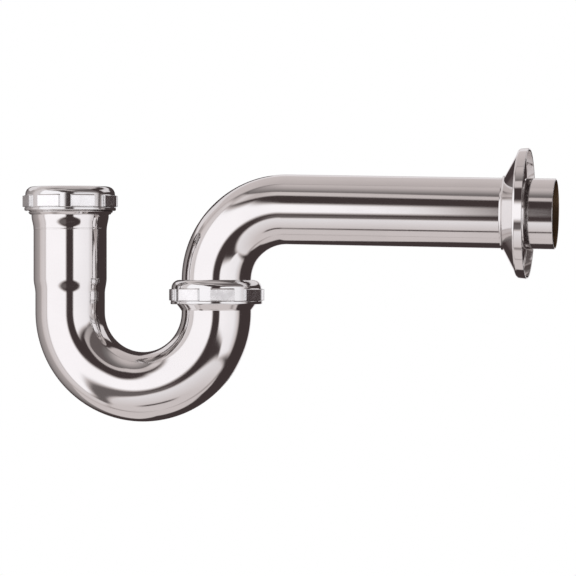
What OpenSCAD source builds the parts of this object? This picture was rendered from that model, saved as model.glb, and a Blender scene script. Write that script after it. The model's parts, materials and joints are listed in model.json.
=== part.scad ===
// Tubular brass P trap: J bend, wall bend, two slip nuts and a wall flange.
// The origin is the mouth of the inlet socket. +Z is up, +X is towards the wall.

/* [Tube] */
// Outside diameter of the drawn tube, nominal 1-1/2 in
tube_od = 38.1; // [37.5:0.1:38.7]
// Wall of the tube
tube_wall = 0.81; // [0.6:0.01:1.1]
// Centreline radius of the J bend
j_bend_r = 41; // [39:0.5:44]
// Centreline radius of the wall bend
wall_bend_r = 38.6; // [38:0.2:44]
// Fall of the wall tube in degrees, a quarter inch in each foot
wall_fall = 1.19; // [0:0.01:2]

/* [J bend] */
// Depth of the inlet socket that takes the tailpiece
socket_depth = 44.6; // [30:0.1:60]
// Radial room between the tailpiece and the socket
socket_gap = 0.19; // [0.1:0.01:0.25]
// Length of the taper from the socket down to the tube
step_len = 5.5; // [3:0.1:8]
// Plain straight tube between that taper and the bend
inlet_leg_len = 11.5; // [5:0.1:40]
// Straight tube between the bend and the outlet collar's face
outlet_leg_len = 10.9; // [10.9:0.1:30]

/* [Wall bend] */
// Straight tube at the foot of the wall bend, measured from the centre of the outlet nut
foot_len = 6.3; // [5:0.1:8]
// Straight wall tube beyond the bend
wall_tube_len = 145.9; // [120:0.1:300]

/* [Slip nuts] */
// Height of a nut
nut_h = 13.2; // [12:0.1:15]
// Corner radius of the wrench pads
pad_corner_r = 26.2; // [25.6:0.1:27]
// Angle each wrench pad covers
pad_angle = 30; // [24:1:36]
// Number of wrench pads
pad_count = 8; // [6:1:10]
// Radius of the round body between the pads
nut_body_r = 24.6; // [24.4:0.1:25]
// Radius of the rolled lip at the foot of the nut
nut_foot_r = 25.1; // [24.8:0.1:25.5]
// Rounding of the shoulder
shoulder_r = 4.3; // [3:0.1:4.5]
// Thickness of the inward lip at the top
nut_lip_t = 2.0; // [1.5:0.1:2.5]
// Radius of the hole in that lip
nut_hole_r = 19.75; // [19.5:0.05:20]
// Turn of the inlet nut, in degrees
inlet_nut_turn = 7.4; // [-22:0.1:22]
// Turn of the outlet nut, in degrees
outlet_nut_turn = -4; // [-22:0.1:22]

/* [Thread] */
// Threads in one inch
threads_per_inch = 11.5; // [11.5:0.5:14]
// Crest radius of the collar's thread
thread_r = 23.4; // [23.2:0.1:23.6]
// Depth of the rounded thread
thread_depth = 1.0; // [0.6:0.05:1.1]
// Radial room between a nut's thread and a collar's
thread_gap = 0.12; // [0.08:0.01:0.2]
// Thread that shows under the inlet nut
thread_shown = 2.1; // [1:0.1:5]

/* [Seals] */
// Thickness of the slip rings under the nuts' lips
ring_t = 1.0; // [0.8:0.1:1.5]
// Thickness of the inlet washer's rim, above the collar
inlet_washer_t = 2.0; // [1.5:0.1:3]
// Thickness of the outlet washer
outlet_washer_t = 1.6; // [1.2:0.1:2.5]
// Thickness of the flange on the wall bend's foot
foot_flange_t = 2.0; // [1.6:0.1:3]
// Depth of the bevel in the inlet collar's mouth
mouth_bevel = 2.2; // [1.5:0.1:3]

/* [Wall flange] */
// Outside diameter
flange_od = 70.6; // [65:0.2:90]
// Depth of its straight rim
rim_depth = 4.8; // [3:0.1:8]
// Depth of the whole flange
flange_depth = 14; // [12:0.1:20]
// Sheet it is spun from
flange_t = 0.9; // [0.6:0.1:1.2]
// Radial room between the flange and the tube
flange_gap = 0.12; // [0.05:0.01:0.3]
// Tube that stands out behind the flange
tube_end_len = 14.6; // [5:0.1:40]

/* [Hidden] */

$fn = 96;
inch = 25.4;
bite = 1;              // how far a cutting solid runs past the face it cuts
face_gap = 0.03;       // room left between faces that slide or turn on each other

tube_r = tube_od / 2;
bore_r = tube_r - tube_wall;
socket_r = tube_r + socket_gap;
socket_out_r = socket_r + tube_wall;
outlet_x = 2 * j_bend_r;

// Threads. Both collars and both nuts share one helix, so a nut is in mesh at rest.
pitch = inch / threads_per_inch;
thread_root_r = thread_r - thread_depth;
turn_steps = 48;
pitch_steps = 6;

// Heights on the inlet leg
inlet_face_z = mouth_bevel;
inlet_lip_z = inlet_face_z + inlet_washer_t + ring_t;
inlet_nut_z = inlet_lip_z + nut_lip_t - nut_h;
inlet_thread_z = inlet_nut_z - thread_shown;
u_bend_z = -(socket_depth + step_len + inlet_leg_len);

// Heights on the outlet leg
outlet_face_z = u_bend_z + outlet_leg_len;
foot_z = outlet_face_z + outlet_washer_t;
outlet_lip_z = foot_z + foot_flange_t + ring_t;
outlet_nut_z = outlet_lip_z + nut_lip_t - nut_h;
outlet_thread_z = outlet_nut_z + 0.8;
wall_bend_z = outlet_nut_z + nut_h / 2 + foot_len;

// The inside of a nut: thread up to the recess that its slip ring turns in
nut_recess_h = ring_t + 0.1;
nut_recess_r = thread_root_r + thread_gap - 0.05;
ring_r = nut_recess_r - 0.05;
nut_thread_top = nut_h - nut_lip_t - nut_recess_h;
pad_low = 1.8;
pad_high = nut_h - 4.8;

// Rows of a thread solid from z_low to z_high, a sixth of a pitch apart
function thread_rows(z_low, z_high) =
    let (step = pitch / pitch_steps)
    concat([z_low], [for (k = [ceil(z_low / step + 0.2) : floor(z_high / step - 0.2)]) k * step], [z_high]);

// Height of the rounded thread above its root, from 0 to 1, at one turn angle and height
function thread_wave(angle, z) = 0.5 + 0.5 * cos(360 * z / pitch - angle);

// A solid plug with a rounded right-hand thread. Its crest is cut back by 45 degree leads at
// both ends, down to the radius lead_r.
module thread_plug(z_low, z_high, root_r, lead_r) {
    rows = thread_rows(z_low, z_high);
    last = len(rows) - 1;
    function rim(angle, z) = min(root_r + thread_depth * thread_wave(angle, z),
                                 lead_r + (z_high - z), lead_r + (z - z_low));
    sides = [for (z = rows, k = [0 : turn_steps - 1])
        let (angle = 360 * k / turn_steps, r = rim(angle, z)) [r * cos(angle), r * sin(angle), z]];
    low_mid = len(sides);
    high_mid = low_mid + 1;
    function at(row, k) = row * turn_steps + k % turn_steps;
    walls = [for (row = [0 : last - 1], k = [0 : turn_steps - 1]) each [
        [at(row, k), at(row + 1, k), at(row + 1, k + 1)],
        [at(row, k), at(row + 1, k + 1), at(row, k + 1)]]];
    low_cap = [for (k = [0 : turn_steps - 1]) [low_mid, at(0, k), at(0, k + 1)]];
    high_cap = [for (k = [0 : turn_steps - 1]) [high_mid, at(last, k + 1), at(last, k)]];
    polyhedron(concat(sides, [[0, 0, z_low], [0, 0, z_high]]), concat(walls, low_cap, high_cap));
}

// A ring of rectangular section between two radii and two heights
module ring(r_in, r_out, z_low, z_high) {
    rotate_extrude() translate([r_in, z_low]) square([r_out - r_in, z_high - z_low]);
}

// Tube section, ready to sweep round a bend of radius bend_r
module tube_section(bend_r) {
    translate([bend_r, 0]) difference() {
        circle(tube_r);
        circle(bore_r);
    }
}

// A slip nut standing on z = 0, less its thread. The pads stand proud of a round, domed body.
module nut_body(turn) {
    pad_flat = pad_corner_r * cos(pad_angle / 2);
    pad_w = 2 * pad_corner_r * sin(pad_angle / 2);
    pad_pitch = 360 / pad_count;
    foot_round = 0.5;
    difference() {
        union() {
            rotate_extrude() {
                square([nut_body_r, nut_h - shoulder_r]);
                translate([nut_body_r - shoulder_r, nut_h - shoulder_r]) circle(shoulder_r);
                square([nut_body_r - shoulder_r, nut_h]);
                square([nut_foot_r - foot_round, pad_low]);
                translate([0, foot_round]) square([nut_foot_r, pad_low - 2 * foot_round]);
                for (z = [foot_round, pad_low - foot_round])
                    translate([nut_foot_r - foot_round, z]) circle(foot_round);
            }
            for (k = [0 : pad_count - 1]) rotate(turn + (k + 0.5) * pad_pitch)
                translate([nut_body_r - 3, -pad_w / 2, pad_low])
                    cube([pad_flat - nut_body_r + 3, pad_w, pad_high - pad_low]);
        }
        translate([0, 0, -bite]) cylinder(h = nut_h + 2 * bite, r = nut_hole_r);
        translate([0, 0, nut_thread_top - bite])
            cylinder(h = nut_recess_h + bite, r = nut_recess_r);
    }
}

// A nut in its place: its body less the collar's thread, which is cut a little large
module slip_nut(z, turn) {
    difference() {
        translate([0, 0, z]) nut_body(turn);
        thread_plug(z - bite, z + nut_thread_top, thread_root_r + thread_gap, thread_r + bite);
    }
}

// The U tube: socket, taper, leg, half-turn bend and outlet leg, all from one tube
module j_bend_tube() color("gainsboro") {
    taper_z = -socket_depth - step_len;
    rotate_extrude() {
        translate([socket_r, -socket_depth]) square([tube_wall, socket_depth]);
        polygon([
            [socket_r, -socket_depth], [socket_out_r, -socket_depth], [tube_r, taper_z], [bore_r, taper_z]]);
        translate([bore_r, u_bend_z]) square([tube_wall, taper_z - u_bend_z]);
    }
    translate([j_bend_r, 0, u_bend_z]) rotate([-90, 0, 0])
        rotate_extrude(angle = 180) tube_section(j_bend_r);
    translate([outlet_x, 0, 0]) ring(bore_r, tube_r, u_bend_z, outlet_face_z);
}

// Threaded collar brazed round the socket, with a bevelled mouth and a long tapering skirt
module inlet_collar() color("silver") {
    skirt_r = 21.2;
    skirt_end_r = socket_out_r + 0.2;
    skirt_len = 8.3;
    mouth_r = socket_out_r + 1.25;
    difference() {
        union() {
            thread_plug(inlet_thread_z, inlet_face_z, thread_root_r, thread_root_r - 0.4);
            translate([0, 0, inlet_thread_z - skirt_len])
                cylinder(h = skirt_len, r1 = skirt_end_r, r2 = skirt_r);
            translate([0, 0, inlet_thread_z - bite]) cylinder(h = 3 * bite, r = skirt_r);
        }
        translate([0, 0, inlet_thread_z - skirt_len - bite])
            cylinder(h = skirt_len + nut_h + 2 * bite, r = socket_out_r);
        cylinder(h = mouth_bevel, r1 = socket_out_r, r2 = mouth_r);
        translate([0, 0, mouth_bevel]) cylinder(h = bite, r = mouth_r);
    }
}

// Threaded collar brazed on the outlet leg, with a hollow flare down to the tube
module outlet_collar() color("silver") {
    flare_r = 3.4;
    flare_out_r = tube_r + 0.25 + flare_r;
    flare_z = outlet_nut_z - flare_r;
    translate([outlet_x, 0, 0]) difference() {
        union() {
            thread_plug(outlet_thread_z, outlet_face_z, thread_root_r, thread_root_r - 0.4);
            difference() {
                translate([0, 0, flare_z])
                    cylinder(h = outlet_thread_z + bite - flare_z, r = flare_out_r - bite);
                rotate_extrude() translate([flare_out_r, flare_z]) circle(flare_r);
            }
        }
        translate([0, 0, flare_z - bite])
            cylinder(h = outlet_face_z - flare_z + 2 * bite, r = tube_r);
    }
}

// Bevelled rubber washer: its lower part wedges between the tailpiece and the collar's mouth
module inlet_washer() color("dimgray") {
    hole_r = tube_r + 0.1;
    wedge_low = 0.1;
    lead = 0.8;            // bevel under the hole, which parts it from the socket's bore
    wedge_low_r = socket_out_r - 0.05;
    wedge_high_r = socket_out_r + 1.2;
    rim_r = thread_root_r - 0.4;
    rotate_extrude() polygon([
        [hole_r, wedge_low + lead], [hole_r + lead / 2, wedge_low], [wedge_low_r, wedge_low],
        [wedge_high_r, inlet_face_z],
        [rim_r, inlet_face_z], [rim_r, inlet_face_z + inlet_washer_t],
        [hole_r, inlet_face_z + inlet_washer_t]]);
}

// Flat rubber washer between the collar's face and the wall bend's flange
module outlet_washer() color("dimgray") {
    translate([outlet_x, 0, 0])
        ring(bore_r, thread_root_r - 0.4, outlet_face_z, foot_z - face_gap);
}

// Slip ring that turns in the nut's recess and keeps the nut's lip off the rubber
module inlet_friction_ring() color("whitesmoke") {
    ring(tube_r + 0.35, ring_r, inlet_lip_z - ring_t + face_gap, inlet_lip_z - face_gap);
}

// Slip ring between the nut's lip and the wall bend's flange
module outlet_friction_ring() color("whitesmoke") {
    translate([outlet_x, 0, 0])
        ring(nut_hole_r, ring_r, outlet_lip_z - ring_t + face_gap, outlet_lip_z - face_gap);
}

module inlet_nut() color("silver") slip_nut(inlet_nut_z, inlet_nut_turn);

module outlet_nut() color("silver") translate([outlet_x, 0, 0]) slip_nut(outlet_nut_z, outlet_nut_turn);

// Places children on the wall tube's axis, at a distance s beyond the bend, with +Z along the tube
module on_wall_tube(s) {
    translate([outlet_x + wall_bend_r, 0, wall_bend_z]) rotate([0, 90 + wall_fall, 0])
        translate([-wall_bend_r, 0, s]) children();
}

// Quarter bend with a short foot and the long wall tube. A shallow line rolled round the tube
// under the flange marks where its free end begins.
module wall_bend_tube() color("gainsboro") {
    line_r = 0.6;
    line_depth = 0.25;
    translate([outlet_x, 0, 0]) ring(bore_r, tube_r, foot_z, wall_bend_z);
    translate([outlet_x + wall_bend_r, 0, wall_bend_z]) rotate([90, 0, 0])
        rotate_extrude(angle = 90 + wall_fall, start = 90 - wall_fall) tube_section(wall_bend_r);
    on_wall_tube(0) difference() {
        ring(bore_r, tube_r, 0, wall_tube_len);
        rotate_extrude() translate([tube_r + line_r - line_depth, wall_tube_len - tube_end_len - 1])
            circle(line_r);
    }
}

// Ring brazed round the wall bend's foot. The outlet nut pulls it down on its washer.
module wall_bend_flange() color("darkkhaki") {
    translate([outlet_x, 0, 0])
        ring(tube_r, thread_root_r - 0.5, foot_z, foot_z + foot_flange_t);
}

// Half section of the wall flange's outside, drawn smaller by inset. The back is open.
module flange_outline(inset) {
    rim_r = flange_od / 2;
    edge_r = 1.6;
    neck_r = tube_r + flange_gap + flange_t;
    cone_h = flange_depth - rim_depth - 0.5;
    cone_r = rim_r - 0.9;
    intersection() {
        union() {
            translate([0, -flange_depth]) square([rim_r - edge_r, flange_depth + inset]);
            translate([rim_r - edge_r, -rim_depth]) circle(edge_r - inset);
            translate([0, -rim_depth]) square([rim_r - inset, rim_depth + inset]);
        }
        translate([0, inset / cos(atan2(cone_h, cone_r - neck_r))]) polygon([
            [0, -flange_depth], [neck_r, -flange_depth], [cone_r, -flange_depth + cone_h],
            [rim_r + bite, -flange_depth + cone_h + bite], [rim_r + bite, bite], [0, bite]]);
    }
}

// Spun wall flange: a neck on the tube, a straight cone, a rounded edge and a rim
module escutcheon() color("lightgray") {
    on_wall_tube(wall_tube_len - tube_end_len) difference() {
        rotate_extrude() flange_outline(0);
        rotate_extrude() flange_outline(flange_t);
        translate([0, 0, -flange_depth - bite])
            cylinder(h = flange_depth + 2 * bite, r = tube_r + flange_gap);
    }
}

j_bend_tube();
inlet_collar();
outlet_collar();
inlet_washer();
outlet_washer();
inlet_friction_ring();
inlet_nut();
outlet_friction_ring();
outlet_nut();
wall_bend_tube();
wall_bend_flange();
escutcheon();
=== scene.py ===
"""Looks of a chromed tubular P trap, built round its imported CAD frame. Lengths are in metres."""
import json
import math

import bpy
import numpy as np
from mathutils import Matrix, Vector


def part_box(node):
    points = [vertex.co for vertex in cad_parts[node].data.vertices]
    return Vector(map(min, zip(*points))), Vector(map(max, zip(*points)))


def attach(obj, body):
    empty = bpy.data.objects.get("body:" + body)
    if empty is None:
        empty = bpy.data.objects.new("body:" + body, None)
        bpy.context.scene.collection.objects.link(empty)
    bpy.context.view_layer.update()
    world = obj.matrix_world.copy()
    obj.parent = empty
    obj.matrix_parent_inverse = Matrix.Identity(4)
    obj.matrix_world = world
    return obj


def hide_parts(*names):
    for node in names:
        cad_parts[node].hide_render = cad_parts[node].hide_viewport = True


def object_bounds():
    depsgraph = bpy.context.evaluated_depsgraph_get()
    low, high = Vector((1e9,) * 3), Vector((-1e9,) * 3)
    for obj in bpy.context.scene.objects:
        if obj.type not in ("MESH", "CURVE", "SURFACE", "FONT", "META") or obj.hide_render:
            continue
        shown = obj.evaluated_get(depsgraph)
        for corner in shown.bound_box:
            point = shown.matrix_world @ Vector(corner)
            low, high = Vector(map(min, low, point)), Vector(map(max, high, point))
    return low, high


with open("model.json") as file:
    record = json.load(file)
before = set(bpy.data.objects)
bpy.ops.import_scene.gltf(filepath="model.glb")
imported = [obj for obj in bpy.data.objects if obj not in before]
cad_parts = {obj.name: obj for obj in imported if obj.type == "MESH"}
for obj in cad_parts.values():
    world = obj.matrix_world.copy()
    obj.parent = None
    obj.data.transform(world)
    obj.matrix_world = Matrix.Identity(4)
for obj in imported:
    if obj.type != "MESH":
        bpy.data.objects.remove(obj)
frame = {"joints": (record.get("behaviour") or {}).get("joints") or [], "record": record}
cad_low, cad_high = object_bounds()

MM = 0.001
MOUNTS = {m["name"]: m for m in frame["record"]["mounts"]}
JOINTS = {j["name"]: j for j in frame["joints"]}

# ---------------------------------------------------------------- sizes, read from the frame

WALL_BEND_R = 38.6 * MM                # the one size here that the frame doesn't state
TUBE_R = MOUNTS["wall_outlet"]["dims"]["r_mm"] * MM
SOCKET_R = MOUNTS["inlet"]["dims"]["r_mm"] * MM
SOCKET_DEPTH = MOUNTS["inlet"]["dims"]["length_mm"] * MM
OUTLET_X = JOINTS["j_bend_swivel"]["pos_m"][0]
J_BEND_R = OUTLET_X / 2
WALL_AXIS = Vector(MOUNTS["wall_outlet"]["axis"])
WALL_FALL = math.asin(-WALL_AXIS.z)

J_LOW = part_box("j_bend_tube")[0]
LEG_LEN = -J_LOW.z - J_BEND_R - TUBE_R
OUTLET_FACE_Z = JOINTS["j_bend_swivel"]["pos_m"][2]
WALL_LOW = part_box("wall_bend_tube")[0]
END_LEN = MOUNTS["wall_outlet"]["dims"]["length_mm"] * MM
WALL_END = Vector(MOUNTS["wall_outlet"]["pos_m"]) + WALL_AXIS * END_LEN / 2
WALL_TURN = math.pi / 2 + WALL_FALL
WALL_BEND_END = OUTLET_X + WALL_BEND_R * (1 - math.cos(WALL_TURN))
WALL_LEN = (WALL_END.x - WALL_BEND_END) / WALL_AXIS.x
FOOT_LEN = WALL_END.z - WALL_AXIS.z * WALL_LEN - WALL_BEND_R * math.sin(WALL_TURN) - WALL_LOW.z

# sizes that the frame doesn't state
TUBE_WALL = 0.81 * MM
BORE_R = TUBE_R - TUBE_WALL
SOCKET_OUT_R = SOCKET_R + TUBE_WALL
TUBE_LIP = 0.35 * TUBE_WALL            # rounding of a tube's cut edge
SOLDER = 0.01 * MM                     # what parts a brazed ring's surface from its tube's
TAPER_LEN = 8.6 * MM
TAPER_MIDDLE = SOCKET_DEPTH + 2.75 * MM
PITCH = 25.4 / 11.5 * MM
THREAD_R = 23.4 * MM
THREAD_DEPTH = 1.0 * MM
THREAD_ROOT_R = THREAD_R - THREAD_DEPTH
THREAD_LEAD = 0.4 * MM                 # how far the thread's ends are cut back under its root
THREAD_GAP = 0.12 * MM                 # between a nut's thread and a collar's
THREAD_SHOWN = 2.1 * MM                # under the inlet nut
COLLAR_RIM = 0.15 * MM                 # rounding of a collar's machined edges
SKIRT_R = 21.2 * MM
NUT_RECESS_H = 1.1 * MM
NUT_ROOT_R = THREAD_ROOT_R + THREAD_GAP
NUT_MOUTH_R = THREAD_R + 0.3 * MM      # where the nut's thread begins, at its foot
NUT_LIP_T = 2.0 * MM
NUT_HOLE_R = 19.75 * MM
NUT_BODY_R = 24.6 * MM
NUT_FOOT_R = 25.1 * MM
NUT_SHOULDER_R = 4.3 * MM
PAD_CORNER_R = 26.2 * MM
PAD_ANGLE = math.radians(30)
PAD_COUNT = 8
PAD_PITCH = 2 * math.pi / PAD_COUNT
PAD_LOW = 1.8 * MM
PAD_BELOW_TOP = 4.8 * MM
INLET_NUT_TURN = math.radians(7.4)
OUTLET_NUT_TURN = math.radians(-4)
FLANGE_DEPTH = 14 * MM
FLANGE_RIM = 4.8 * MM
FLANGE_T = 0.9 * MM
FLANGE_GAP = 0.12 * MM                 # between the flange and the tube

# ---------------------------------------------------------------- outlines and paths


def step(x, low, high):
    """0 below low, 1 above high, smooth between. low may be above high, which turns it round."""
    x = np.clip((x - low) / (high - low), 0, 1)
    return x * x * (3 - 2 * x)


def band(x, low, high, soft):
    """1 from low to high, with soft edges centred on them."""
    return step(x, low - soft / 2, low + soft / 2) * step(x, high + soft / 2, high - soft / 2)


def rounded(corners, degrees_a_step=7.5):
    """A closed outline from corners (along, radius, fillet), listed anticlockwise.

    Returns rows of (along, radius, normal along, normal radius). Every corner is an arc, so the
    normals are continuous.
    """
    rows = []
    count = len(corners)
    for i, (a, b, fillet) in enumerate(corners):
        here = np.array((a, b))
        before = here - np.array(corners[i - 1][:2])
        after = np.array(corners[(i + 1) % count][:2]) - here
        before, after = before / np.linalg.norm(before), after / np.linalg.norm(after)
        turn = math.atan2(before[0] * after[1] - before[1] * after[0], before @ after)
        if abs(turn) < 1e-6:
            rows.append((a, b, after[1], -after[0]))
            continue
        reach = fillet * math.tan(abs(turn) / 2)
        start = here - before * reach
        side = 1 if turn > 0 else -1
        first = np.array((before[1], -before[0]))
        centre = start - side * fillet * first
        steps = max(3, math.ceil(math.degrees(abs(turn)) / degrees_a_step))
        for k in range(steps + 1):
            t = turn * k / steps
            normal = np.array((first[0] * math.cos(t) - first[1] * math.sin(t),
                               first[0] * math.sin(t) + first[1] * math.cos(t)))
            point = centre + side * fillet * normal
            rows.append((*point, *normal))
    return np.array(rows)


def refined(outline, step, low=-math.inf, high=math.inf):
    """The outline with points added. From low to high no span is longer than step.

    Elsewhere only the spans over four steps are divided.
    """
    rows = []
    for here, after in zip(outline, np.roll(outline, -1, axis=0)):
        span = np.linalg.norm(after[:2] - here[:2])
        middle = (here[0] + after[0]) / 2
        parts = max(1, math.ceil(span / step)) if low <= middle <= high or span > 4 * step else 1
        rows += [here + (after - here) * k / parts for k in range(parts)]
    return np.array(rows)


def straight_path(origin, direction=(0, 0, 1)):
    """A straight line: a function from distances to (points, tangents, first normals)."""
    origin, along = np.array(origin, float), np.array(direction, float)
    side = np.cross((0, 1, 0), along)
    side = side / np.linalg.norm(side)

    def at(distance):
        ones = np.ones((len(distance), 1))
        return origin + np.outer(distance, along), ones * along, ones * side
    return at


def bent_path(origin, first_len, bend_r, turn, start_angle):
    """A line in the XZ plane: straight for first_len, an arc of bend_r through turn, then straight.

    start_angle is the heading at the start, from +Z towards +X. The arc turns towards first normals.
    A positive turn is clockwise seen from -Y.
    """
    origin = np.array(origin, float)
    side = 1 if turn > 0 else -1

    def heading(angle):
        return np.stack([np.sin(angle), 0 * angle, np.cos(angle)], axis=1)

    def at(distance):
        on_arc = np.clip(distance - first_len, 0, bend_r * abs(turn))
        angle = start_angle + side * on_arc / bend_r
        tangent = heading(angle)
        inward = heading(angle + side * math.pi / 2)
        start = heading(np.full(len(distance), start_angle))
        start_inward = heading(np.full(len(distance), start_angle + side * math.pi / 2))
        points = origin + start * np.minimum(distance, first_len)[:, None]
        points += bend_r * (start_inward - inward)
        rest = np.maximum(distance - first_len - bend_r * abs(turn), 0)
        points += tangent * rest[:, None]
        return points, tangent, inward
    return at


def skin(name, outline, path, columns=256, shape=None, inside=None):
    """A closed mesh: the outline carried round the path. UVs are real lengths round and along it.

    columns is a count or a list of angles. shape(along, radius, angle) gives changed radii.
    inside(row) says which outline rows start a face that takes the second material.
    """
    angles = np.arange(columns) * 2 * math.pi / columns if isinstance(columns, int) else np.array(columns)
    along, radius = outline[:, 0], outline[:, 1]
    centre, tangent, first = path(along)
    second = np.cross(tangent, first)
    radial = (first[:, None, :] * np.cos(angles)[None, :, None]
              + second[:, None, :] * np.sin(angles)[None, :, None])
    radii = np.repeat(radius[:, None], len(angles), axis=1)
    if shape is not None:
        radii = shape(along[:, None] + 0 * radii, radii, angles[None, :] + 0 * radii)
    points = centre[:, None, :] + radial * radii[:, :, None]
    rows, cols = radii.shape
    i, j = np.meshgrid(np.arange(rows), np.arange(cols), indexing="ij")
    i2, j2 = (i + 1) % rows, (j + 1) % cols
    faces = np.stack([i * cols + j, i2 * cols + j, i2 * cols + j2, i * cols + j2], axis=-1).reshape(-1, 4)
    mesh = bpy.data.meshes.new(name)
    mesh.from_pydata(points.reshape(-1, 3).tolist(), [], faces.tolist())
    mesh.polygons.foreach_set("use_smooth", [True] * len(faces))
    if inside is not None:
        picks = np.repeat([int(inside(row)) for row in outline], cols)
        mesh.polygons.foreach_set("material_index", picks.astype(np.int32))
    layer = mesh.uv_layers.new(name="real_size")
    round_len = np.append(angles, angles[0] + 2 * math.pi) * float(radius.max())
    along_len = np.append(along, along[0])
    corners_u = np.stack([round_len[j], round_len[j], round_len[j + 1], round_len[j + 1]], axis=-1)
    corners_v = np.stack([along_len[i], along_len[i + 1], along_len[i + 1], along_len[i]], axis=-1)
    layer.data.foreach_set("uv", np.stack([corners_u, corners_v], axis=-1).astype(np.float32).ravel())
    if shape is None:
        normals = radial * outline[:, 3][:, None, None] + tangent[:, None, :] * outline[:, 2][:, None, None]
        mesh.normals_split_custom_set_from_vertices(normals.reshape(-1, 3).tolist())
    mesh.update()
    piece = bpy.data.objects.new(name, mesh)
    bpy.context.scene.collection.objects.link(piece)
    return piece


def dress(piece, node, body, slot, *materials):
    """The piece stands for a CAD node, rides on its body and takes the materials given. slot is not used.
    """
    for material in materials:
        piece.data.materials.append(material)
    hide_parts(node)
    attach(piece, body)
    return piece


# ---------------------------------------------------------------- materials


class Nodes:
    """A short way to build a material's nodes."""

    def __init__(self, name):
        self.material = bpy.data.materials.new(name)
        self.material.use_nodes = True
        self.tree = self.material.node_tree
        self.shader = self.tree.nodes["Principled BSDF"]
        self.place = self.add("ShaderNodeTexCoord")

    def add(self, kind, **settings):
        node = self.tree.nodes.new(kind)
        for key, value in settings.items():
            if hasattr(node, key):
                setattr(node, key, value)
            else:
                node.inputs[key].default_value = value
        return node

    def join(self, source, target):
        self.tree.links.new(source, target)

    def noise(self, scale, detail=4.0, roughness=0.55, stretch=(1, 1, 1), uv=False):
        """Noise from 0 to 1 over real lengths, finer with scale."""
        mapping = self.add("ShaderNodeMapping")
        mapping.inputs["Scale"].default_value = stretch
        self.join(self.place.outputs["UV" if uv else "Object"], mapping.inputs["Vector"])
        noise = self.add("ShaderNodeTexNoise")
        noise.inputs["Scale"].default_value = scale
        noise.inputs["Detail"].default_value = detail
        noise.inputs["Roughness"].default_value = roughness
        self.join(mapping.outputs["Vector"], noise.inputs["Vector"])
        return noise.outputs["Fac"]

    def ramp(self, value, low, high, out_low, out_high):
        """value carried from low..high to out_low..out_high, and held at the ends."""
        node = self.add("ShaderNodeMapRange")
        ends = {"From Min": low, "From Max": high, "To Min": out_low, "To Max": out_high}
        for key, number in ends.items():
            node.inputs[key].default_value = number
        self.join(value, node.inputs["Value"])
        return node.outputs["Result"]

    def math(self, operation, first, second):
        node = self.add("ShaderNodeMath", operation=operation)
        for slot, value in zip(node.inputs, (first, second)):
            if isinstance(value, (int, float)):
                slot.default_value = value
            else:
                self.join(value, slot)
        return node.outputs["Value"]

    def mix(self, amount, first, second):
        """Colour from first to second as amount goes from 0 to 1."""
        node = self.add("ShaderNodeMix", data_type="RGBA")
        self.join(amount, node.inputs["Factor"])
        node.inputs["A"].default_value = (*first, 1)
        node.inputs["B"].default_value = (*second, 1)
        return node.outputs["Result"]

    def bump(self, height, distance, strength=1.0, under=None):
        node = self.add("ShaderNodeBump")
        node.inputs["Distance"].default_value = distance
        node.inputs["Strength"].default_value = strength
        self.join(height, node.inputs["Height"])
        if under is not None:
            self.join(under, node.inputs["Normal"])
        return node.outputs["Normal"]


def polished_chrome(name, tint=(0.80, 0.785, 0.78), gloss=0.065, wave=0.02):
    """Buffed chromium plate: a faint uneven polish, buffing lines along the tube and a few hairlines."""
    n = Nodes(name)
    haze = n.noise(38, detail=5)
    lines = n.noise(1, detail=3, stretch=(2600, 70, 1), uv=True)
    fine = n.noise(1, detail=2, stretch=(500, 9000, 1), uv=True)
    colour = n.mix(n.ramp(haze, 0.35, 0.75, 0, 1), tint, tuple(0.965 * c for c in tint))
    rough = n.math("ADD", n.ramp(haze, 0.35, 0.75, gloss, gloss * 1.6),
                   n.ramp(lines, 0.55, 0.8, 0, gloss * 0.8))
    swell = n.bump(n.noise(55, detail=1), 0.00002, wave)
    scored = n.bump(lines, 0.000004, 0.12, under=swell)
    normal = n.bump(fine, 0.000003, 0.06, under=scored)
    n.join(colour, n.shader.inputs["Base Color"])
    n.join(rough, n.shader.inputs["Roughness"])
    n.join(normal, n.shader.inputs["Normal"])
    n.shader.inputs["Metallic"].default_value = 1.0
    return n.material


def cast_chrome(name):
    """Chromium plate over a casting that was barely polished: a fine pebbled grain."""
    n = Nodes(name)
    grain = n.noise(1900, detail=3, roughness=0.6)
    patches = n.noise(160, detail=3)
    n.join(n.mix(n.ramp(grain, 0.35, 0.7, 0, 1), (0.85, 0.85, 0.855), (0.95, 0.95, 0.95)),
           n.shader.inputs["Base Color"])
    n.join(n.ramp(patches, 0.3, 0.7, 0.2, 0.34), n.shader.inputs["Roughness"])
    n.join(n.bump(grain, 0.00004, 0.22), n.shader.inputs["Normal"])
    n.shader.inputs["Metallic"].default_value = 1.0
    return n.material


def bare_brass(name):
    """Unplated brass inside the tubes: drawn, dulled and stained."""
    n = Nodes(name)
    stain = n.noise(60, detail=6, roughness=0.65)
    drawn = n.noise(1, detail=4, stretch=(3000, 40, 1), uv=True)
    n.join(n.mix(n.ramp(stain, 0.35, 0.7, 0, 1), (0.33, 0.225, 0.13), (0.17, 0.11, 0.07)),
           n.shader.inputs["Base Color"])
    n.join(n.ramp(stain, 0.3, 0.7, 0.3, 0.5), n.shader.inputs["Roughness"])
    n.join(n.bump(drawn, 0.00002, 0.35), n.shader.inputs["Normal"])
    n.shader.inputs["Metallic"].default_value = 1.0
    return n.material


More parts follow.
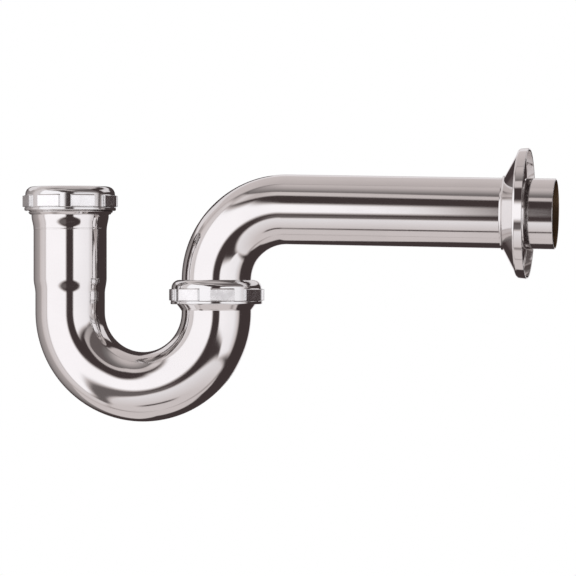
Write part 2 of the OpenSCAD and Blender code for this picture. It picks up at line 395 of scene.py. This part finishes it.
def matt(name, dark, light, roughness, grain_scale):
    """Rubber or nylon: two close tones, with a fine moulded grain."""
    n = Nodes(name)
    grain = n.noise(grain_scale, detail=3)
    n.join(n.mix(n.ramp(n.noise(90, detail=5), 0.3, 0.7, 0, 1), dark, light), n.shader.inputs["Base Color"])
    n.join(n.ramp(grain, 0.3, 0.7, roughness - 0.08, roughness + 0.08), n.shader.inputs["Roughness"])
    n.join(n.bump(grain, 0.00004, 0.4), n.shader.inputs["Normal"])
    return n.material


TUBE_CHROME = polished_chrome("tube_chrome")
COLLAR_CHROME = polished_chrome("collar_chrome", gloss=0.06)
NUT_CHROME = polished_chrome("nut_chrome", tint=(0.79, 0.79, 0.79), gloss=0.09, wave=0.08)
PAD_CHROME = cast_chrome("pad_chrome")
FLANGE_CHROME = polished_chrome("flange_chrome", gloss=0.05, wave=0.03)
BRASS = bare_brass("bare_brass")
RUBBER = matt("washer_rubber", (0.012, 0.012, 0.013), (0.03, 0.03, 0.03), 0.6, 1500)
NYLON = matt("ring_nylon", (0.70, 0.69, 0.64), (0.80, 0.79, 0.75), 0.4, 900)

# ---------------------------------------------------------------- tubes


def is_inner(row):
    """Outline rows on a wall that faces the axis."""
    return row[3] < -0.5


def widened(start, end, narrow, wide, count=24):
    """Outline rows for a smooth step in a radius, from narrow at start to wide at end."""
    t = np.linspace(0, 1, count + 1)
    radius = narrow + (wide - narrow) * (1 - np.cos(math.pi * t)) / 2
    slope = (wide - narrow) / (end - start) * math.pi / 2 * np.sin(math.pi * t)
    side = 1 if start > end else -1
    length = np.sqrt(1 + slope ** 2)
    return np.stack([start + (end - start) * t, radius, -side * slope / length, side / length], axis=1)


def j_bend_tube():
    """The U tube. Its socket narrows to the tube in a smooth S curve, inside and out."""
    end = LEG_LEN + math.pi * J_BEND_R + (OUTLET_FACE_Z + LEG_LEN)
    high, low = TAPER_MIDDLE - TAPER_LEN / 2, TAPER_MIDDLE + TAPER_LEN / 2
    corners = [(0, SOCKET_R), (high, SOCKET_R), (low, BORE_R), (end, BORE_R),
               (end, TUBE_R), (low, TUBE_R), (high, SOCKET_OUT_R), (0, SOCKET_OUT_R)]
    ends = rounded([(*corner, TUBE_LIP) for corner in corners])
    inner = ends[:, 1] < (SOCKET_R + SOCKET_OUT_R) / 2
    at_mouth, at_end = ends[:, 0] < high / 2, ends[:, 0] > (low + end) / 2
    middle = (BORE_R + TUBE_R) / 2
    outline = np.concatenate([
        ends[at_mouth & inner], widened(high, low, SOCKET_R, BORE_R), ends[at_end & (ends[:, 1] < middle)],
        ends[at_end & (ends[:, 1] >= middle)], widened(low, high, TUBE_R, SOCKET_OUT_R),
        ends[at_mouth & ~inner]])
    path = bent_path((0, 0, 0), LEG_LEN, J_BEND_R, -math.pi, math.pi)
    piece = skin("j_bend", refined(outline, 1 * MM), path, 288, inside=is_inner)
    return dress(piece, "j_bend_tube", "j_bend", "chromed_tube", TUBE_CHROME, BRASS)


def wall_bend_tube():
    """The wall bend and its long tube, with a shallow line rolled round it under the flange."""
    end = FOOT_LEN + WALL_BEND_R * WALL_TURN + WALL_LEN
    line = end - END_LEN - 0.5 * MM
    half_line = 0.6 * MM
    groove = 0.25 * MM
    outline = rounded([
        (0, BORE_R, TUBE_LIP), (end, BORE_R, TUBE_LIP), (end, TUBE_R, TUBE_LIP),
        (line + half_line, TUBE_R, 0.2 * MM), (line, TUBE_R - groove, 0.4 * MM),
        (line - half_line, TUBE_R, 0.2 * MM), (0, TUBE_R, TUBE_LIP)])
    path = bent_path((OUTLET_X, 0, WALL_LOW.z), FOOT_LEN, WALL_BEND_R, WALL_TURN, 0)
    piece = skin("wall_bend", refined(outline, 1 * MM), path, 288, inside=is_inner)
    return dress(piece, "wall_bend_tube", "wall_bend", "chromed_tube", TUBE_CHROME, BRASS)


# ---------------------------------------------------------------- threads, collars and nuts


def thread_wave(along, angle):
    """Height of the rounded thread above its root, from 0 to 1."""
    return 0.5 + 0.5 * np.cos(2 * math.pi * along / PITCH - angle)


def male_thread(low, high):
    """A shape for skin(): the thread stands on the wall between two heights, with 45 degree leads."""
    end_r = THREAD_ROOT_R - THREAD_LEAD

    def shape(along, radius, angle):
        raised = THREAD_ROOT_R + THREAD_DEPTH * thread_wave(along, angle)
        raised = np.minimum(raised, end_r + np.minimum(high - along, along - low))
        on_wall = (radius > THREAD_ROOT_R - 0.3 * MM) & (along > low) & (along < high)
        return np.where(on_wall, np.maximum(raised, end_r), radius)
    return shape


def thread_wall(low, high):
    """Outline corners of the wall that a thread stands on, from its high end to its low end."""
    end_r = THREAD_ROOT_R - THREAD_LEAD
    return [(high, end_r, COLLAR_RIM), (high - THREAD_LEAD, THREAD_ROOT_R, COLLAR_RIM),
            (low + THREAD_LEAD, THREAD_ROOT_R, COLLAR_RIM), (low, end_r, COLLAR_RIM)]


def collar(name, node, outline, axis_x, low, high):
    """A collar from its outline, with a thread between the heights low and high."""
    outline = refined(outline, PITCH / 14, low, high)
    piece = skin(name, outline, straight_path((axis_x, 0, 0)), 240, shape=male_thread(low, high))
    return dress(piece, node, "j_bend", "chromed_collar", COLLAR_CHROME)


def inlet_collar():
    """The collar round the socket: a bevelled mouth, a thread and a skirt that thins to nothing."""
    low, high = (corner.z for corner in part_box("inlet_collar"))
    thread_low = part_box("inlet_nut")[0].z - THREAD_SHOWN
    mouth_r = SOCKET_OUT_R + 1.25 * MM
    outline = rounded([
        (low, SOCKET_OUT_R + SOLDER, 0.05 * MM), (0, SOCKET_OUT_R + SOLDER, 0.3 * MM),
        (high, mouth_r, COLLAR_RIM), *thread_wall(thread_low, high), (thread_low, SKIRT_R, 0.4 * MM)])
    skirt = widened(thread_low - 0.5 * MM, low + 0.1 * MM, SKIRT_R, SOCKET_OUT_R + 0.06 * MM)
    outline = np.concatenate([outline, skirt, [(low, SOCKET_OUT_R + 2 * SOLDER, -1, 0)]])
    return collar("inlet_thread_collar", "inlet_collar", outline, 0, thread_low, high)


def outlet_collar():
    """The collar on the outlet leg: a thread over a hollow flare down to the tube."""
    low, high = (corner.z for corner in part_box("outlet_collar"))
    thread_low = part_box("outlet_nut")[0].z + 0.8 * MM
    outline = rounded([
        (low, TUBE_R + SOLDER, 0.05 * MM), (high, TUBE_R + SOLDER, 0.05 * MM),
        *thread_wall(thread_low, high), (thread_low, 21.9 * MM, 0.2 * MM),
        (thread_low - 1.0 * MM, 21.5 * MM, 1.2 * MM), (low + 0.6 * MM, TUBE_R + 0.5 * MM, 2.2 * MM),
        (low, TUBE_R + 0.2 * MM, 0.08 * MM)])
    return collar("outlet_thread_collar", "outlet_collar", outline, OUTLET_X, thread_low, high)


def nut_columns(turn):
    """Angles round a nut, close together at the edges of its pads."""
    half = PAD_ANGLE / 2
    edge = 0.012
    one = np.concatenate([
        np.linspace(-half + 2 * edge, half - 2 * edge, 14),
        np.linspace(half - 1.6 * edge, half + 1.6 * edge, 9),
        np.linspace(half + 2 * edge, PAD_PITCH - half - 2 * edge, 7),
        PAD_PITCH - np.linspace(half + 1.6 * edge, half - 1.6 * edge, 9)])
    return np.concatenate([one + turn + (k + 0.5) * PAD_PITCH for k in range(PAD_COUNT)])


def nut_shape(low, high, turn):
    """A shape for skin(): pads stand on the body, and the thread is cut inside."""
    pad_flat = PAD_CORNER_R * math.cos(PAD_ANGLE / 2)
    pad_top = high - PAD_BELOW_TOP
    thread_top = high - NUT_LIP_T - NUT_RECESS_H
    edge = 0.010
    round_off = 0.25 * MM

    def shape(along, radius, angle):
        off = np.abs((angle - turn) % PAD_PITCH - PAD_PITCH / 2)
        flat = pad_flat / np.cos(np.minimum(off, PAD_ANGLE / 2))
        across = step(off, PAD_ANGLE / 2 + edge, PAD_ANGLE / 2 - edge)
        pad_low = low + PAD_LOW
        rise = step(along, pad_low, pad_low + round_off) * step(along, pad_top, pad_top - round_off)
        outer = np.where(radius > NUT_BODY_R - 0.2 * MM, radius + (flat - radius) * across * rise, radius)
        cut = NUT_ROOT_R + THREAD_DEPTH * thread_wave(along, angle)
        lead = NUT_MOUTH_R - (along - low)
        inner = (radius < NUT_MOUTH_R + 0.05 * MM) & (radius > NUT_HOLE_R + 0.5 * MM)
        inner &= along < thread_top
        return np.where(inner, np.maximum(cut, lead), np.maximum(outer, radius))
    return shape


def slip_nut(name, node, body, axis_x, turn):
    """A slip nut. Its outline is round, and its pads and thread come from nut_shape()."""
    low, high = (corner.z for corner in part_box(node))
    thread_top = high - NUT_LIP_T - NUT_RECESS_H
    rim = 0.3 * MM
    sharp = 0.02 * MM
    outline = rounded([
        (low, NUT_MOUTH_R, sharp), (low + NUT_MOUTH_R - NUT_ROOT_R, NUT_ROOT_R, sharp),
        (thread_top, NUT_ROOT_R, sharp), (high - NUT_LIP_T, NUT_ROOT_R - 0.05 * MM, 0.1 * MM),
        (high - NUT_LIP_T, NUT_HOLE_R, rim), (high, NUT_HOLE_R, rim),
        (high, NUT_BODY_R, NUT_SHOULDER_R), (low + PAD_LOW, NUT_BODY_R, 0.15 * MM),
        (low + PAD_LOW - 0.2 * MM, NUT_FOOT_R, 0.5 * MM), (low, NUT_FOOT_R, 0.5 * MM)])
    outline = refined(outline, 0.2 * MM, low, high)
    piece = skin(name, outline, straight_path((axis_x, 0, 0)), nut_columns(turn),
                 shape=nut_shape(low, high, turn))
    mark_pads(piece, axis_x, low, high, turn)
    return dress(piece, node, body, "chromed_nut", NUT_CHROME, PAD_CHROME)


def mark_pads(piece, axis_x, low, high, turn):
    """Gives the pads' faces the cast material."""
    for face in piece.data.polygons:
        x, y, z = face.center.x - axis_x, face.center.y, face.center.z
        off = abs((math.atan2(y, x) - turn) % PAD_PITCH - PAD_PITCH / 2)
        in_band = low + PAD_LOW + 0.2 * MM < z < high - PAD_BELOW_TOP - 0.2 * MM
        if in_band and off < PAD_ANGLE / 2 and math.hypot(x, y) > NUT_BODY_R + 0.4 * MM:
            face.material_index = 1


# ---------------------------------------------------------------- rings, washers and the flange


def turned_ring(name, node, body, slot, material, axis_x, r_in, r_out, fillet, wedge=None):
    """A turned or moulded ring between the heights of its CAD node."""
    low, high = (corner.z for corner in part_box(node))
    corners = [(low, r_in, fillet), (high, r_in, fillet), (high, r_out, fillet)]
    corners += wedge or [(low, r_out, fillet)]
    piece = skin(name, refined(rounded(corners), 0.5 * MM), straight_path((axis_x, 0, 0)), 192)
    return dress(piece, node, body, slot, material)


def seals():
    """Both rubber washers, both slip rings and the ring on the wall bend's foot."""
    rim_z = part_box("inlet_collar")[1].z + 0.02 * MM
    washer_r = THREAD_ROOT_R - THREAD_LEAD
    soft = 0.25 * MM
    wedge = [(rim_z, washer_r, soft), (rim_z, SOCKET_OUT_R + 1.15 * MM, soft),
             (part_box("inlet_washer")[0].z, SOCKET_OUT_R - 0.05 * MM, soft)]
    ring_r = NUT_ROOT_R - 0.1 * MM
    turned_ring("inlet_rubber", "inlet_washer", "j_bend", "rubber_washer", RUBBER, 0,
                TUBE_R + 0.1 * MM, washer_r, soft, wedge)
    turned_ring("outlet_rubber", "outlet_washer", "j_bend", "rubber_washer", RUBBER, OUTLET_X,
                BORE_R, washer_r, soft)
    turned_ring("inlet_ring", "inlet_friction_ring", "inlet_slip_ring", "nylon_ring", NYLON, 0,
                TUBE_R + 0.35 * MM, ring_r, 0.15 * MM)
    turned_ring("outlet_ring", "outlet_friction_ring", "outlet_slip_ring", "nylon_ring", NYLON, OUTLET_X,
                NUT_HOLE_R, ring_r, 0.15 * MM)
    turned_ring("foot_flange", "wall_bend_flange", "wall_bend", "bare_brass", BRASS, OUTLET_X,
                TUBE_R + SOLDER, THREAD_ROOT_R - 0.5 * MM, 0.2 * MM)


def wall_flange():
    """The spun flange: a neck on the tube, a cone, a rounded edge and a rim, open at the back."""
    face = MOUNTS["wall_face"]
    line = Vector(MOUNTS["wall_outlet"]["pos_m"])
    back = line + WALL_AXIS * (Vector(face["pos_m"]) - line).dot(WALL_AXIS)
    rim_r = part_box("escutcheon")[1].y
    hole_r = TUBE_R + FLANGE_GAP
    neck_r = hole_r + FLANGE_T
    cone_z, cone_r = -FLANGE_RIM - 0.5 * MM, rim_r - 0.9 * MM
    slope = math.atan2(cone_r - neck_r, cone_z + FLANGE_DEPTH)
    shift = FLANGE_T / math.sin(slope)
    lip = 0.3 * MM
    draft = 0.4 * MM
    outline = rounded([
        (-FLANGE_DEPTH, hole_r, lip), (-FLANGE_DEPTH + shift - 0.1 * MM, hole_r, lip),
        (cone_z + shift, cone_r - 0.2 * MM, 0.9 * MM), (cone_z + 1.6 * MM, rim_r - FLANGE_T, 0.9 * MM),
        (0, rim_r - FLANGE_T, lip), (0, rim_r, lip), (cone_z + 0.9 * MM, rim_r - draft, 1.3 * MM),
        (cone_z, cone_r, 0.8 * MM), (-FLANGE_DEPTH + 1.3 * MM, neck_r + 0.3 * MM, 2.6 * MM),
        (-FLANGE_DEPTH, neck_r, 0.5 * MM)])
    piece = skin("flange", refined(outline, 0.6 * MM), straight_path(back, WALL_AXIS), 320)
    return dress(piece, "escutcheon", "wall_flange", "chromed_flange", FLANGE_CHROME)


j_bend_tube()
wall_bend_tube()
inlet_collar()
outlet_collar()
slip_nut("inlet_slip_nut", "inlet_nut", "inlet_slip_nut", 0, INLET_NUT_TURN)
slip_nut("outlet_slip_nut", "outlet_nut", "outlet_slip_nut", OUTLET_X, OUTLET_NUT_TURN)
seals()
wall_flange()

# ---------------------------------------------------------------- studio

STUDIO_CENTRE = np.array((0.10, 0, -0.03))
STUDIO_R = 1.7
DARK = 0.052                           # the tent where no card is
DARK_TINT = np.array((1.12, 0.84, 0.84))
GREY_TINT = np.array((1.0, 0.905, 0.895))
WHITE_TINT = np.array((1.0, 0.975, 1.0))


def tent_light(az, el):
    """How bright the light tent is in a direction: az from ahead towards +X, el up, in degrees."""
    front = step(np.abs(az), 104, 80)
    back = 1 - front
    # the big card on the left, with a dark gap round the camera to its right
    top = np.interp(az, (-90, -63, -27, -10, 5), (50, 42, 35, 18, 16))
    foot = np.interp(az, (-80, -60, -34, -20, -8, 5), (-52, -46, -24, -17, -11, -9))
    light = 1.18 * step(az, 1, -6.5) * step(az, -80, -66) * band(el, foot, top, 12)
    side = np.interp(az, (-150, -128, -100, -92, -76), (0.06, 0.30, 0.46, 0.72, 0.80))
    light = np.maximum(light, side * step(az, -154, -146) * step(az, -66, -76) * band(el, -62, 52, 12))
    # the long low card on the right
    foot = np.interp(az, (17, 30, 42, 50), (-8, -14, -20, -33))
    top = np.interp(az, (17, 60, 90), (13, 16, 12))
    right = np.interp(az, (17, 70, 84, 95), (1.14, 1.04, 0.78, 0.5))
    light = np.maximum(light, right * step(az, 17.5, 22.5) * step(az, 97, 86) * band(el, foot, top, 9))
    # above: a strip, a brown haze over it, and the ceiling
    strip = np.interp(az, (-90, -60, -40, -20, 60, 90), (0.4, 0.8, 0.62, 0.72, 0.45, 0.3))
    low = np.interp(az, (-90, -10, 22, 35, 90), (45, 45, 30, 21, 15))
    high = np.interp(az, (-90, -10, 22, 35, 90), (58, 58, 41, 31, 26))
    light = np.maximum(light, front * strip * band(el, low, high, 5))
    haze = np.interp(el, (50, 60, 70, 80), (0.14, 0.22, 0.44, 0.62))
    light = np.maximum(light, front * haze * step(el, high - 2, high + 3))
    ceiling = np.interp(az, (-180, -60, 0, 60, 110, 170, 180), (26, 26, 50, 50, 60, 50, 26))
    above = np.interp(el, (26, 60, 90), (0.70, 0.66, 0.56)) * step(el, ceiling - 3, ceiling + 4)
    light = np.maximum(light, back * above)
    # below: the table, with a thin dark line across it
    top = np.interp(az, (-80, -60, -10, 15, 40, 90), (-58, -56, -26, -26, -28, -40))
    table = np.interp(el, (-62, -28), (0.72, 0.95))
    light = np.maximum(light, front * table * step(el, top + 3, top - 4))
    line = band(el, -66.5, -61.5, 2.5) * step(np.abs(az + 4), 34, 12)
    light = light * (1 - 0.9 * line * front)
    top = np.interp(az, (-180, -168, -158, -84, 84, 120, 180), (-64, -64, -48, -34, -40, -62, -64))
    light = np.maximum(light, back * 0.70 * step(el, top + 3, top - 3))
    # two cards behind the object, for the other side of it
    light = np.maximum(light, 0.95 * step(np.abs(az), 163, 168) * band(el, -16, 14, 5))
    light = np.maximum(light, 0.85 * step(np.abs(az), 108, 116) * band(el, 17, 40, 5))
    # the gap between the cards and the table is never quite dark under the object
    light = np.maximum(light, 0.16 * step(el, -12, -22) * step(el, -66, -56) * front * step(az, 4, -8))
    return np.maximum(light, DARK)


def light_tent():
    """A tent of cards round the object. Only reflections see it."""
    columns, rows = 360, 181
    az, el = np.meshgrid(np.arange(columns) - 180.0, np.linspace(-89.9, 89.9, rows))
    a, e = np.radians(az), np.radians(el)
    direction = np.stack([np.sin(a) * np.cos(e), -np.cos(a) * np.cos(e), np.sin(e)], -1)
    i, j = np.meshgrid(np.arange(rows - 1), np.arange(columns), indexing="ij")
    first, after = i * columns + j, i * columns + (j + 1) % columns
    faces = np.stack([first, after, after + columns, first + columns], -1).reshape(-1, 4)
    mesh = bpy.data.meshes.new("light_tent")
    mesh.from_pydata((STUDIO_CENTRE + STUDIO_R * direction).reshape(-1, 3).tolist(), [], faces.tolist())
    level = tent_light(az, el)[..., None]
    whiteness = step(level, 0.6, 1.0)
    darkness = step(level, 0.2, DARK)
    colour = GREY_TINT * (1 - whiteness) + WHITE_TINT * whiteness
    colour = level * (colour * (1 - darkness) + DARK_TINT * darkness)
    layer = mesh.attributes.new("glow", "FLOAT_VECTOR", "POINT")
    layer.data.foreach_set("vector", colour.astype(np.float32).ravel())
    show(mesh, "light_tent", "glow")


def show(mesh, name, glow):
    """Puts a glowing thing in the studio. glow is a colour, or names an attribute of the mesh."""
    material = bpy.data.materials.new(name)
    material.use_nodes = True
    tree = material.node_tree
    tree.nodes.clear()
    output = tree.nodes.new("ShaderNodeOutputMaterial")
    emission = tree.nodes.new("ShaderNodeEmission")
    if isinstance(glow, str):
        attribute = tree.nodes.new("ShaderNodeAttribute")
        attribute.attribute_name = glow
        tree.links.new(attribute.outputs["Vector"], emission.inputs["Color"])
    else:
        emission.inputs["Color"].default_value = (*glow, 1)
    tree.links.new(emission.outputs["Emission"], output.inputs["Surface"])
    mesh.materials.append(material)
    thing = bpy.data.objects.new(name, mesh)
    bpy.context.scene.collection.objects.link(thing)
    thing.visible_camera = False
    thing.visible_shadow = False
    thing.visible_diffuse = False
    thing.visible_transmission = False


def flag(name, corners):
    """A small dark board that keeps light off part of the object."""
    mesh = bpy.data.meshes.new(name)
    mesh.from_pydata(corners, [], [(0, 1, 2, 3)])
    show(mesh, name, tuple(DARK * DARK_TINT))


light_tent()
flag("u_flag", [(0.0, 0.06, -0.11), (0.09, 0.06, -0.11), (0.09, 0.10, 0.06), (0.0, 0.10, 0.06)])


def world_light():
    """White to the camera and to matt surfaces, and a dark brown room to the chrome."""
    world = bpy.data.worlds.new("studio")
    world.use_nodes = True
    bpy.context.scene.world = world
    tree = world.node_tree
    background = tree.nodes["Background"]
    rays = tree.nodes.new("ShaderNodeLightPath")
    mix = tree.nodes.new("ShaderNodeMix")
    mix.data_type = "RGBA"
    mix.inputs["A"].default_value = (1, 1, 1, 1)
    mix.inputs["B"].default_value = (0.074, 0.058, 0.058, 1)
    tree.links.new(rays.outputs["Is Glossy Ray"], mix.inputs["Factor"])
    tree.links.new(mix.outputs["Result"], background.inputs["Color"])


def floor():
    """A plain pale floor under the object."""
    half = 0.9
    level = cad_low.z - 0.18
    mesh = bpy.data.meshes.new("floor")
    corners = [(-half, -half, level), (half, -half, level), (half, half, level), (-half, half, level)]
    mesh.from_pydata(corners, [], [(0, 1, 2, 3)])
    n = Nodes("floor_paint")
    n.join(n.mix(n.ramp(n.noise(3, detail=2), 0.3, 0.7, 0, 1), (0.86, 0.86, 0.86), (0.88, 0.88, 0.88)),
           n.shader.inputs["Base Color"])
    n.shader.inputs["Roughness"].default_value = 0.9
    mesh.materials.append(n.material)
    plane = bpy.data.objects.new("floor", mesh)
    bpy.context.scene.collection.objects.link(plane)
    plane.visible_glossy = False


def camera():
    """A long lens, level with the object and a little round to its wall end."""
    azimuth, elevation = math.radians(10), math.radians(0)
    lens, sensor = 218.75, 36
    view_width = 0.31304
    distance = lens / sensor * view_width
    aim = Vector((0.8, 0, -1.1)) * MM
    target = (cad_low + cad_high) / 2 + aim
    back = Vector((math.sin(azimuth) * math.cos(elevation), -math.cos(azimuth) * math.cos(elevation),
                   math.sin(elevation)))
    data = bpy.data.cameras.new("camera")
    data.lens, data.sensor_width = lens, sensor
    data.clip_start, data.clip_end = 0.05, 20
    eye = bpy.data.objects.new("camera", data)
    eye.location = target + back * distance
    eye.rotation_mode = "QUATERNION"
    eye.rotation_quaternion = (-back).to_track_quat("-Z", "Y")
    bpy.context.scene.collection.objects.link(eye)
    bpy.context.scene.camera = eye


world_light()
floor()
camera()
bpy.context.scene.view_settings.view_transform = "Standard"
